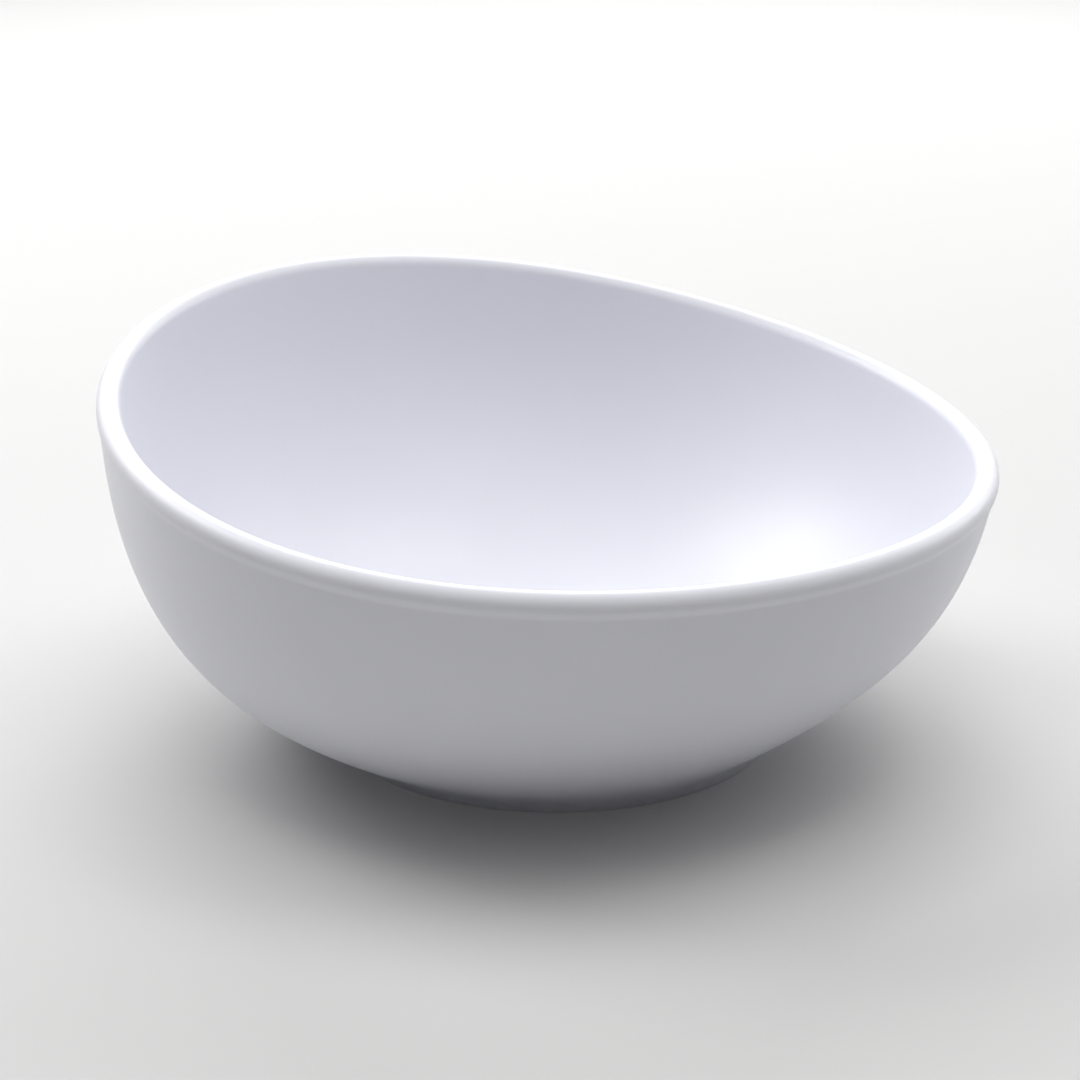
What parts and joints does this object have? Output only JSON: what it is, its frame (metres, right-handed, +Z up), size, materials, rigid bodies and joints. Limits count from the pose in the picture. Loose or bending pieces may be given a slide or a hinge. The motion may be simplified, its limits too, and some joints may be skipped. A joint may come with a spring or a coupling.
{
  "type": "slanted serving bowl",
  "caption": "Round one-piece serving bowl with a slanted rim, high on one side and low on the other, a rounded lip and a low ring foot.",
  "frame": {"origin": "on the table, under the centre of the rim", "axes": "+Z up; the low side of the rim faces -Y and the high side +Y; the bowl is the same left and right of the YZ plane"},
  "size_m": [0.203, 0.2029, 0.0939],
  "materials": {
    "bowl": "white moulded melamine with a cool tint, satin gloss, smooth"
  },
  "bodies": {
    "root": {"bowl": "bowl"}
  },
  "joints": []
}
